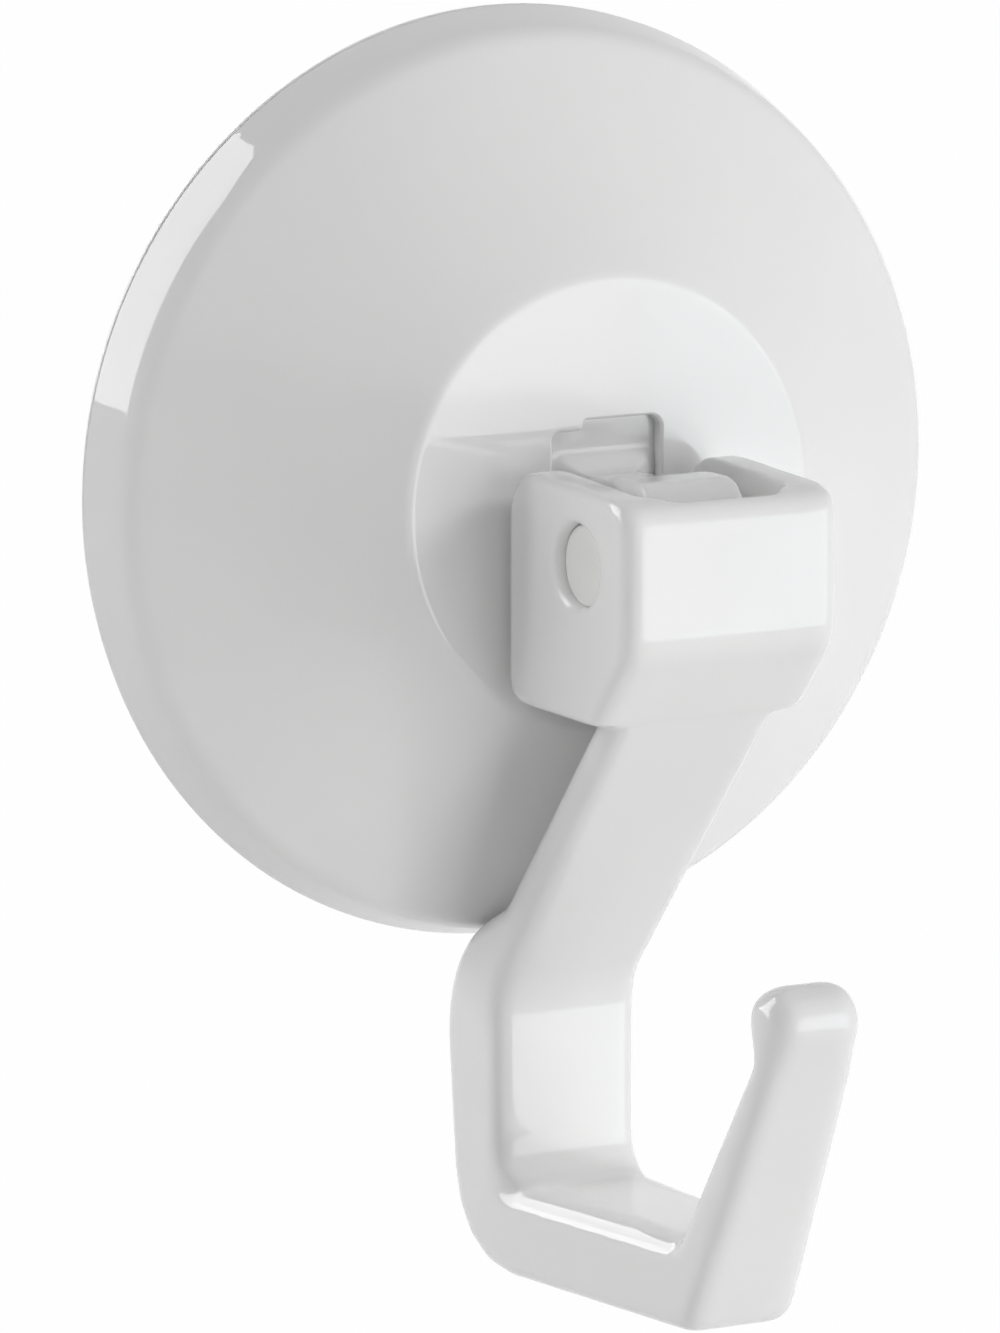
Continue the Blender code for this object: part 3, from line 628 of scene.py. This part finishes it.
def put_points(mesh, points):
    """Move a mesh's points to new places."""
    mesh.vertices.foreach_set("co", points.ravel())
    mesh.update()


def eased(values, start, end):
    """Smooth rise from 0 at the start to 1 at the end."""
    part = np.clip((values - start) / (end - start), 0, 1)
    return part * part * (3 - 2 * part)


def soften(mesh, passes):
    """Even out a fine mesh: each point moves half way to the middle of its neighbours."""
    points = points_of(mesh)
    total = len(points)
    ends = np.empty(len(mesh.edges) * 2, dtype=np.int32)
    mesh.edges.foreach_get("vertices", ends)
    ends = ends.reshape(-1, 2)
    source = np.concatenate([ends[:, 0], ends[:, 1]])
    target = np.concatenate([ends[:, 1], ends[:, 0]])
    neighbours = np.bincount(target, minlength=total)
    for _ in range(passes):
        middle = np.stack([np.bincount(target, weights=points[source, axis], minlength=total)
                           for axis in range(3)], axis=1) / neighbours[:, None]
        points = (points + middle) / 2
    put_points(mesh, points)


# Neck of the stem: its start below the plateau, its end before the pivot, the length of its
# first fade to either side, and where it starts to widen again
NECK_SUNK = 0.4 * MM
NECK_STOP = 1.5 * MM
NECK_FADE = 0.3 * MM
NECK_FULL = 2.0 * MM

# Eye of the stem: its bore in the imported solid, a radius inside which it has no points, and
# the cosines of the turn from straight ahead between which its front turns flat
EYE_BORE_WALL = 2.95 * MM
EYE_MIDDLE = 1.0 * MM
EYE_FRONT = (0.05, 0.6)


def shape_stem(points, moulding):
    """Narrow the stem's neck, flatten the front of its eye and open its bore a little."""
    reach = -points[:, 1]
    start, end = reach_of("bell_housing") - NECK_SUNK, -PIVOT.y - NECK_STOP
    neck = eased(reach, start - NECK_FADE, start + NECK_FADE)
    neck *= 1 - eased(reach, start + NECK_FULL, end)
    points[:, 0] *= 1 - neck * (1 - moulding.neck_share)
    points[:, 2] *= 1 - neck * (1 - moulding.neck_top) * (points[:, 2] > 0)
    out = reach + PIVOT.y
    up = points[:, 2] - PIVOT.z
    distance = np.maximum(np.hypot(out, up), EYE_MIDDLE)
    forward = eased(out / distance, *EYE_FRONT)
    flat = EYE_BORE_WALL + (distance - EYE_BORE_WALL) * (1 - forward * (1 - moulding.eye_flat))
    bored = np.maximum(moulding.eye_bore / distance, 1)
    factor = np.where(distance < EYE_BORE_WALL, bored, flat / distance)
    points[:, 1] = PIVOT.y - out * factor
    points[:, 2] = PIVOT.z + up * factor
    return points


# Relief of the cheeks: the heights above the pivot where it starts and is full, where it
# fades before the front wall, and how far inside the cheek's face a point may lie
RELIEF_HEIGHTS = (1.0 * MM, 3.6 * MM)
RELIEF_STOP = 1.6 * MM
CHEEK_MARGIN = 0.1 * MM


def relieve_cheeks(points, moulding):
    """Thin the tops of the cheeks from the inside, so that a gap shows beside the stem's eye."""
    reach = -points[:, 1]
    side = np.abs(points[:, 0])
    outer, inner = half_size("hook_lever", 0), moulding.cheek_inside
    start, full = RELIEF_HEIGHTS
    relief = moulding.cheek_relief * eased(points[:, 2], PIVOT.z + start, PIVOT.z + full)
    relief *= 1 - eased(reach, moulding.cheek_front - RELIEF_STOP, moulding.cheek_front)
    moved = side + relief * np.clip((outer - side) / (outer - inner), 0, 1)
    points[:, 0] = np.where(side > inner - CHEEK_MARGIN, np.sign(points[:, 0]) * moved, points[:, 0])


# Shares of the bar's length: where its width is measured, at how many spots and how far to
# either side of each, and where its rounding fades in and out
BAR_SPAN = (-0.2, 1.2)
BAR_SPOTS = 29
BAR_SPOT_REACH = 0.05
BAR_FADE_IN = (-0.08, 0.08)
BAR_FADE_OUT = (0.95, 1.05)

# Depths below the bar's top where its sides are upright, and how far above it a point may lie
BAR_SIDE = (1.0 * MM, 3.0 * MM)
BAR_TOP_MARGIN = 0.3 * MM
TINY = 0.001 * MM


def round_bar(points, moulding):
    """Round the bar's upper left edge further than the rest."""
    from_start = -points[:, 1] - moulding.bar_start
    along = from_start / moulding.bar_length
    top_gap = moulding.bar_top + from_start * math.tan(moulding.bar_rise) - points[:, 2]
    side = (along > BAR_SPAN[0]) & (along < BAR_SPAN[1])
    side &= (top_gap > BAR_SIDE[0]) & (top_gap < BAR_SIDE[1])
    spots = np.linspace(*BAR_SPAN, BAR_SPOTS)
    widest = [np.abs(points[side & (np.abs(along - spot) < BAR_SPOT_REACH), 0]).max()
              for spot in spots]
    side_gap = np.interp(along, spots, widest) + points[:, 0]
    radius = moulding.bar_round * eased(along, *BAR_FADE_IN) * (1 - eased(along, *BAR_FADE_OUT)) + TINY
    beside, above = radius - side_gap, radius - top_gap
    distance = np.hypot(beside, above)
    outside = (beside > 0) & (above > 0) & (top_gap > -BAR_TOP_MARGIN) & (distance > radius)
    pull = np.where(outside, 1 - radius / np.maximum(distance, TINY), 0)
    points[:, 0] += beside * pull
    points[:, 2] -= above * pull


def shape_lever(points, moulding):
    """Stand the cheeks back from the stem's eye and round the bar."""
    relieve_cheeks(points, moulding)
    round_bar(points, moulding)
    return points


def moulded_copy(node, name, grain, passes, shape, extra=None):
    """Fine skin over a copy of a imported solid, with the soft edges of a moulding."""
    mesh = frame["nodes"][node].data.copy()
    mesh.name = name
    bm = bmesh.new()
    bm.from_mesh(mesh)
    bmesh.ops.remove_doubles(bm, verts=bm.verts, dist=DOUBLES)
    if extra:
        bm.from_mesh(extra.data)
        bpy.data.objects.remove(extra, do_unlink=True)
    bm.to_mesh(mesh)
    bm.free()
    mesh.materials.clear()
    made = new_object(name, mesh)
    skin = made.modifiers.new("skin", "REMESH")
    skin.mode = "VOXEL"
    skin.voxel_size = grain
    skin.adaptivity = 0.0
    bake_modifiers(made)
    if len(made.data.vertices) < FEWEST_POINTS:
        raise RuntimeError(f"{name} was not skinned")
    put_points(made.data, shape(points_of(made.data), bpy.context.scene.suction_hook.moulding))
    soften(made.data, passes)
    made.data.shade_smooth()
    return made


# Finishes

# Least and most roughness against the middle value
GLOSS_SPREAD = (0.8, 1.3)
RUBBER_SPREAD = (0.95, 1.05)


def shader_material(name, colour_value, roughness):
    """Material with a Principled shader; returns the material, its tree and the shader."""
    material = bpy.data.materials.new(name)
    material.use_nodes = True
    tree = material.node_tree
    shader = tree.nodes["Principled BSDF"]
    shader.inputs["Base Color"].default_value = (*colour_value, 1)
    shader.inputs["Roughness"].default_value = roughness
    shader.inputs["Metallic"].default_value = 0.0
    return material, tree, shader


def noise_on_piece(tree, scale, detail):
    """Noise that stays with the piece, in its own coordinates."""
    place = tree.nodes.new("ShaderNodeTexCoord")
    noise = tree.nodes.new("ShaderNodeTexNoise")
    noise.inputs["Scale"].default_value = scale
    noise.inputs["Detail"].default_value = detail
    link_nodes(tree, (place, "Object", noise, "Vector"))
    return noise


def vary_colour(tree, shader, scale, first, second):
    """Slow drift between two close colours."""
    noise = noise_on_piece(tree, scale, detail=2.0)
    ramp = tree.nodes.new("ShaderNodeValToRGB")
    ramp.color_ramp.elements[0].position = 0.35
    ramp.color_ramp.elements[0].color = (*first, 1)
    ramp.color_ramp.elements[1].position = 0.75
    ramp.color_ramp.elements[1].color = (*second, 1)
    link_nodes(tree, (noise, "Fac", ramp, "Fac"), (ramp, "Color", shader, "Base Color"))


def vary_roughness(tree, shader, scale, middle, limits):
    """Gloss that changes a little from place to place."""
    noise = noise_on_piece(tree, scale, detail=3.0)
    spread = tree.nodes.new("ShaderNodeMapRange")
    spread.inputs["From Min"].default_value = 0.3
    spread.inputs["From Max"].default_value = 0.7
    spread.inputs["To Min"].default_value = middle * limits[0]
    spread.inputs["To Max"].default_value = middle * limits[1]
    link_nodes(tree, (noise, "Fac", spread, "Value"), (spread, "Result", shader, "Roughness"))


def add_waviness(tree, shader, scale, strength, depth):
    """Faint relief of a moulded skin."""
    noise = noise_on_piece(tree, scale, detail=1.5)
    bump = tree.nodes.new("ShaderNodeBump")
    bump.inputs["Strength"].default_value = strength
    bump.inputs["Distance"].default_value = depth
    link_nodes(tree, (noise, "Fac", bump, "Height"), (bump, "Normal", shader, "Normal"))


def white_gloss_plastic(finish):
    """Stiff glossy moulding plastic of the bell, the stem and the lever."""
    roughness = finish.plastic_roughness
    material, tree, shader = shader_material("white_gloss_plastic", finish.plastic, roughness)
    vary_colour(tree, shader, scale=55.0, first=finish.plastic, second=finish.plastic_drift)
    vary_roughness(tree, shader, scale=420.0, middle=roughness, limits=GLOSS_SPREAD)
    add_waviness(tree, shader, scale=260.0, strength=0.25, depth=0.004 * MM)
    return material


def pin_plastic(finish):
    """Slightly duller plastic of the pin."""
    material, tree, shader = shader_material("pin_plastic", finish.pin, finish.pin_roughness)
    vary_roughness(tree, shader, scale=900.0, middle=finish.pin_roughness, limits=GLOSS_SPREAD)
    add_waviness(tree, shader, scale=1400.0, strength=0.3, depth=0.006 * MM)
    return material


def soft_cup_rubber(finish):
    """Soft milky rubber, in which the light goes a little way."""
    roughness = finish.rubber_roughness
    material, tree, shader = shader_material("soft_cup_rubber", finish.rubber, roughness)
    shader.inputs["Subsurface Weight"].default_value = 0.35
    shader.inputs["Subsurface Radius"].default_value = (1.0, 1.0, 1.0)
    shader.inputs["Subsurface Scale"].default_value = 1.2 * MM
    vary_roughness(tree, shader, scale=300.0, middle=roughness, limits=RUBBER_SPREAD)
    add_waviness(tree, shader, scale=500.0, strength=0.3, depth=0.006 * MM)
    return material


def shared_material(name, maker):
    """Material by name, made the first time that it is asked for."""
    return bpy.data.materials.get(name) or maker(bpy.context.scene.suction_hook.finish)


# Pieces

class MakeBell(bpy.types.Operator):
    """Turn the bell housing and cut the stem's opening in its plateau"""
    bl_idname = "suction_hook.make_bell"
    bl_label = "Bell Housing"

    def execute(self, context):
        settings = context.scene.suction_hook
        plastic = shared_material("white_gloss_plastic", white_gloss_plastic)
        bell = turned_piece("bell_housing_turned", bell_profile(settings.bell), settings.bell.steps,
                            plastic, shared_tree())
        whole = volume_of(bell.data)
        cutter = window_cutter(settings.window, settings.bell)
        cut = bell.modifiers.new("window", "BOOLEAN")
        cut.operation = "DIFFERENCE"
        cut.solver = "EXACT"
        cut.object = cutter
        bake_modifiers(bell)
        bpy.data.objects.remove(cutter, do_unlink=True)
        face_outward(bell.data)
        if volume_of(bell.data) > whole * UNCUT_SHARE:
            raise RuntimeError("the opening was not cut")
        finish_shading(bell.data)
        bell.data.materials.clear()
        bell.data.materials.append(plastic)
        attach(bell, BASE)
        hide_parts("bell_housing")
        return {"FINISHED"}


class MakeCup(bpy.types.Operator):
    """Turn the soft suction cup with its hollow, lip and boss"""
    bl_idname = "suction_hook.make_cup"
    bl_label = "Suction Cup"

    def execute(self, context):
        sizes = context.scene.suction_hook.cup
        rubber = shared_material("soft_cup_rubber", soft_cup_rubber)
        cup = turned_piece("suction_cup_turned", cup_profile(sizes), sizes.steps, rubber, shared_tree())
        cup.data.transform(Matrix.Translation((-sizes.lip_left, 0, sizes.lip_up)))
        finish_shading(cup.data)
        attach(cup, BASE)
        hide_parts("suction_cup")
        return {"FINISHED"}


class MakePin(bpy.types.Operator):
    """Turn the pivot pin and lay it across the lever's cheeks"""
    bl_idname = "suction_hook.make_pin"
    bl_label = "Pivot Pin"

    def execute(self, context):
        sizes = context.scene.suction_hook.pin
        plastic = shared_material("pin_plastic", pin_plastic)
        pin = turned_piece("pivot_pin_turned", pin_profile(sizes), sizes.steps, plastic, shared_tree())
        pin.data.transform(Matrix.Translation(PIVOT) @ Matrix.Rotation(math.radians(90), 4, "Z"))
        finish_shading(pin.data)
        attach(pin, LEVER)
        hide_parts("pivot_pin")
        return {"FINISHED"}


class MakeStem(bpy.types.Operator):
    """Skin the pull stem with its foot, flat shank and eye"""
    bl_idname = "suction_hook.make_stem"
    bl_label = "Pull Stem"

    def execute(self, context):
        settings = context.scene.suction_hook
        moulding, window = settings.moulding, settings.window
        key = ringed_block("stem_key", *window_outline(window, -window.key_bite), [
            (settings.bell.guide_reach, 0.0), (settings.bell.plateau_reach - window.key_recess, 0.0)])
        stem = moulded_copy("pull_stem", "pull_stem_moulded", moulding.stem_grain,
                            moulding.stem_softness, shape_stem, key)
        stem.data.materials.append(shared_material("white_gloss_plastic", white_gloss_plastic))
        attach(stem, BASE)
        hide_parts("pull_stem")
        return {"FINISHED"}


class MakeLever(bpy.types.Operator):
    """Skin the hook lever with soft moulded edges"""
    bl_idname = "suction_hook.make_lever"
    bl_label = "Hook Lever"

    def execute(self, context):
        moulding = context.scene.suction_hook.moulding
        lever = moulded_copy("hook_lever", "hook_lever_moulded", moulding.lever_grain,
                             moulding.lever_softness, shape_lever)
        lever.data.materials.append(shared_material("white_gloss_plastic", white_gloss_plastic))
        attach(lever, LEVER)
        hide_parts("hook_lever")
        return {"FINISHED"}


def shared_tree():
    """The turning tree, made once."""
    return bpy.data.node_groups.get("turned_piece") or turning_tree()


# Stage

NEUTRAL = (1.0, 1.0, 1.0)
COOL = (0.86, 0.95, 1.0)

# name, turn to the right of straight ahead, height above level, distance, width, height, strength,
# colour, and which part of a surface sees it
SOFTBOXES = (
    ("panel_left", 16.0, -8.0, 1.0, 0.46, 0.9, 3.2, NEUTRAL, "matt"),
    ("panel_right", 41.5, -8.0, 1.0, 0.40, 0.9, 1.2, NEUTRAL, "matt"),
    ("high_right", 55.0, 32.0, 1.0, 0.40, 0.35, 8.2, NEUTRAL, "matt"),
    ("overhead", 0.0, 80.0, 1.2, 0.8, 0.8, 0.4, NEUTRAL, "matt"),
    ("low_left", -40.0, -20.0, 1.0, 0.5, 0.5, 2.0, NEUTRAL, "matt"),
    ("high_left", -72.0, 38.0, 1.0, 0.4, 0.4, 3.7, NEUTRAL, "matt"),
    ("back_left", -128.0, 20.0, 1.2, 0.6, 0.8, 4.7, NEUTRAL, "matt"),
    ("small_low", 37.0, -16.0, 1.2, 0.12, 0.12, 42.0, NEUTRAL, "matt"),
    ("gleam_left", 19.07, -8.8, 1.012, 0.36, 0.89, 2.1, NEUTRAL, "gloss"),
    ("gleam_right", 40.62, -8.8, 1.012, 0.40, 0.89, 2.4, COOL, "gloss"),
    ("gleam_back", -130.5, 36.9, 1.325, 0.79, 1.27, 4.4, NEUTRAL, "gloss"),
    ("gleam_far", -173.5, 31.3, 1.241, 0.88, 0.91, 3.0, NEUTRAL, "gloss"),
)


def direction(azimuth, elevation):
    """Unit step from the origin, by the turn to the right of straight ahead and the height."""
    return Vector((math.sin(azimuth) * math.cos(elevation), -math.cos(azimuth) * math.cos(elevation),
                   math.sin(elevation)))


def make_softbox(name, azimuth, elevation, distance, width, height, strength, tint, seen_by):
    """Flat light, upright where only a gleam shows it; its strength is what a surface sees of it."""
    lamp = bpy.data.lights.new(name, "AREA")
    lamp.shape = "RECTANGLE"
    lamp.size = width
    lamp.size_y = height
    lamp.color = tint
    lamp.energy = strength * math.pi * width * height
    holder = bpy.data.objects.new(name, lamp)
    bpy.context.scene.collection.objects.link(holder)
    away = direction(math.radians(azimuth), math.radians(elevation))
    holder.location = away * distance
    facing = direction(math.radians(azimuth), 0) if seen_by == "gloss" else away
    holder.rotation_euler = facing.to_track_quat("Z", "Y").to_euler()
    holder.visible_camera = False
    holder.visible_diffuse = seen_by != "gloss"
    holder.visible_glossy = seen_by != "matt"


def shown_white(tree, shader_socket, output, amount):
    """Mix a shader with plain white where the camera, a mirror or a clear surface sees it."""
    path = tree.nodes.new("ShaderNodeLightPath")
    either = maths(tree, "MAXIMUM")
    any_of = maths(tree, "MAXIMUM")
    scaled = maths(tree, "MULTIPLY", amount)
    white = tree.nodes.new("ShaderNodeEmission" if output.bl_idname == "ShaderNodeOutputMaterial"
                           else "ShaderNodeBackground")
    white.inputs["Color"].default_value = (1, 1, 1, 1)
    white.inputs["Strength"].default_value = 1.0
    mix = tree.nodes.new("ShaderNodeMixShader")
    link_nodes(tree, (path, "Is Camera Ray", either, 0), (path, "Is Glossy Ray", either, 1),
               (either, 0, any_of, 0), (path, "Is Transmission Ray", any_of, 1),
               (any_of, 0, scaled, 0), (scaled, 0, mix, 0), (white, 0, mix, 2),
               (mix, 0, output, "Surface"))
    tree.links.new(shader_socket, mix.inputs[1])


class MakeStage(bpy.types.Operator):
    """Set up the camera, the pale floor, the world and the softboxes"""
    bl_idname = "suction_hook.make_stage"
    bl_label = "Stage"

    def execute(self, context):
        stage = context.scene.suction_hook.stage
        self.make_camera(context, stage)
        self.make_floor(stage)
        self.make_world(context, stage)
        for softbox in SOFTBOXES:
            make_softbox(*softbox)
        context.scene.view_settings.view_transform = "Standard"
        return {"FINISHED"}

    def make_camera(self, context, stage):
        """Camera at the photo's viewing angle."""
        back = direction(-stage.view_azimuth, stage.view_elevation)
        level = Vector((math.cos(stage.view_azimuth), -math.sin(stage.view_azimuth), 0))
        above = back.cross(level)
        place = level * stage.aim_across + above * stage.aim_up + back * stage.view_distance
        right = level * math.cos(stage.view_roll) + above * math.sin(stage.view_roll)
        up = above * math.cos(stage.view_roll) - level * math.sin(stage.view_roll)
        lens = bpy.data.cameras.new("photo_camera")
        lens.sensor_fit = "HORIZONTAL"
        lens.sensor_width = 36.0
        lens.lens = stage.focal
        lens.clip_start = 0.01
        camera = bpy.data.objects.new("photo_camera", lens)
        context.scene.collection.objects.link(camera)
        turned = Matrix((right, up, back)).transposed().to_4x4()
        camera.matrix_world = Matrix.Translation(place) @ turned
        context.scene.camera = camera

    def make_floor(self, stage):
        """Pale floor that shows as white and still takes the object's shadow."""
        half = stage.floor_size / 2
        mesh = bpy.data.meshes.new("pale_floor")
        mesh.from_pydata([(-half, -half, -stage.floor_drop), (half, -half, -stage.floor_drop),
                          (half, half, -stage.floor_drop), (-half, half, -stage.floor_drop)],
                         [], [(0, 1, 2, 3)])
        floor = new_object("pale_floor", mesh)
        material, tree, shader = shader_material("pale_floor", stage.floor_colour,
                                                 stage.floor_roughness)
        shown_white(tree, shader.outputs[0], tree.nodes["Material Output"], stage.floor_white)
        mesh.materials.append(material)

    def make_world(self, context, stage):
        """World that is plain white behind the object and dim on it."""
        world = bpy.data.worlds.new("studio")
        context.scene.world = world
        world.use_nodes = True
        tree = world.node_tree
        ambient = tree.nodes["Background"]
        ambient.inputs["Color"].default_value = (1, 1, 1, 1)
        ambient.inputs["Strength"].default_value = stage.ambient
        shown_white(tree, ambient.outputs[0], tree.nodes["World Output"], 1.0)


class HookPanel(bpy.types.Panel):
    """Sidebar panel that lists the hook's pieces and settings"""
    bl_idname = "SUCTION_HOOK_PT_pieces"
    bl_label = "Suction Hook"
    bl_space_type = "VIEW_3D"
    bl_region_type = "UI"
    bl_category = "Suction Hook"

    def draw(self, context):
        settings = context.scene.suction_hook
        for operator in OPERATORS:
            self.layout.operator(operator.bl_idname)
        for group in ("bell", "window", "cup", "pin", "moulding", "finish", "stage"):
            box = self.layout.box()
            box.label(text=group.capitalize())
            values = getattr(settings, group)
            for name in values.bl_rna.properties.keys():
                if name not in ("rna_type", "name"):
                    box.prop(values, name)


OPERATORS = (MakeBell, MakeCup, MakePin, MakeStem, MakeLever, MakeStage)
CLASSES = (BellSizes, WindowSizes, CupSizes, PinSizes, MouldingSizes, FinishSettings, StageSettings,
           HookSettings, *OPERATORS, HookPanel)


def register():
    """Register the classes and hang the settings on the scene."""
    for item in CLASSES:
        bpy.utils.register_class(item)
    bpy.types.Scene.suction_hook = bpy.props.PointerProperty(type=HookSettings)


def unregister():
    """Take the settings and the classes away again."""
    del bpy.types.Scene.suction_hook
    for item in reversed(CLASSES):
        bpy.utils.unregister_class(item)


def main():
    """Build the hook and its stage."""
    register()
    bpy.ops.suction_hook.make_bell()
    bpy.ops.suction_hook.make_cup()
    bpy.ops.suction_hook.make_pin()
    bpy.ops.suction_hook.make_stem()
    bpy.ops.suction_hook.make_lever()
    bpy.ops.suction_hook.make_stage()


if __name__ == "__main__":
    main()
